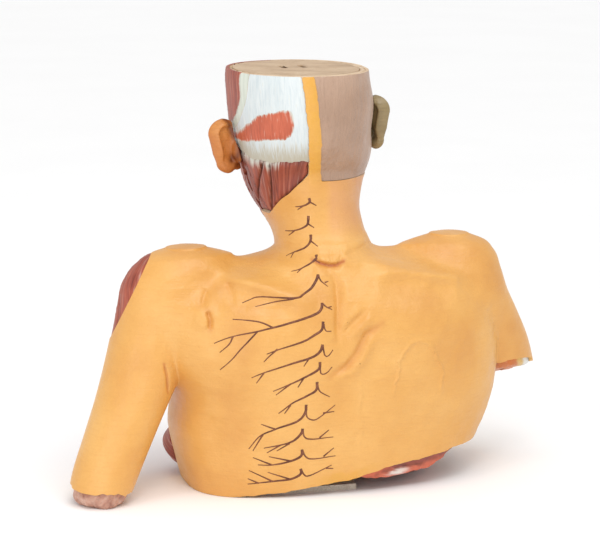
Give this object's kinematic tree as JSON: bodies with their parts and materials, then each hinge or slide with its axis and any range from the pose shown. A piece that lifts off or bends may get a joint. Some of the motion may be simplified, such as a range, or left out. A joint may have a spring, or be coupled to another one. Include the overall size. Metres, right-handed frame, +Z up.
{
  "type": "torso anatomy model",
  "caption": "Life-size teaching model of a head, neck and upper torso, skinned on one side and dissected on the other, with a lift-out brain and a removable chest plate.",
  "frame": {"origin": "middle of the flat underside of the base board", "axes": "+Z up, -Y the way the face looks, +X the figure's own left side"},
  "size_m": [0.5266, 0.2548, 0.437],
  "materials": {
    "skin": "satin",
    "scalp": "satin",
    "fascia": "satin",
    "bone": "satin",
    "cartilage": "satin",
    "brain": "satin",
    "lung": "satin",
    "vessel": "satin",
    "board": "satin",
    "muscle": "satin"
  },
  "bodies": {
    "torso": {"torso_skin": "skin", "neck_skin": "skin", "scalp_skin_right": "scalp", "face_skin_right": "skin", "ear_left": "skin", "ear_right": "skin", "galea_left": "fascia", "occipital_muscle_left": "muscle", "temporal_muscle_left": "muscle", "temporal_fascia_left": "fascia", "neck_trapezius_left": "muscle", "splenius_left": "muscle", "sternomastoid_left": "muscle", "strap_muscles_left": "muscle", "face_muscles_left": "muscle", "skull": "bone", "larynx": "cartilage", "cervical_vertebrae": "bone", "thoracic_vertebrae": "bone", "intervertebral_discs": "cartilage", "trunk_wall": "muscle", "serratus_left": "muscle", "deltoid_left": "muscle", "clavicle_left": "bone", "clavicle_right": "bone", "arm_muscles_left": "muscle", "arm_muscles_right": "muscle", "humerus_left": "bone", "humerus_right": "bone", "rear_ribs": "bone", "lung_left": "lung", "lung_right": "lung", "heart": "vessel", "aorta": "vessel", "trachea": "cartilage", "oesophagus": "vessel", "diaphragm": "muscle", "base_board": "board"},
    "brain": {"brain": "brain"},
    "chest_plate": {"chest_skin_right": "skin", "chest_muscle_right": "muscle", "pectoral_left": "muscle", "abdominal_left": "muscle", "sternum": "bone", "front_ribs": "bone"}
  },
  "joints": [
    {"name": "brain_lift", "type": "slide", "parent": "torso", "child": "brain", "axis": [0, 0, 1], "range_m": [0, 0.09]},
    {"name": "chest_plate_pull", "type": "slide", "parent": "torso", "child": "chest_plate", "axis": [0, -1, 0], "range_m": [0, 0.12]}
  ]
}
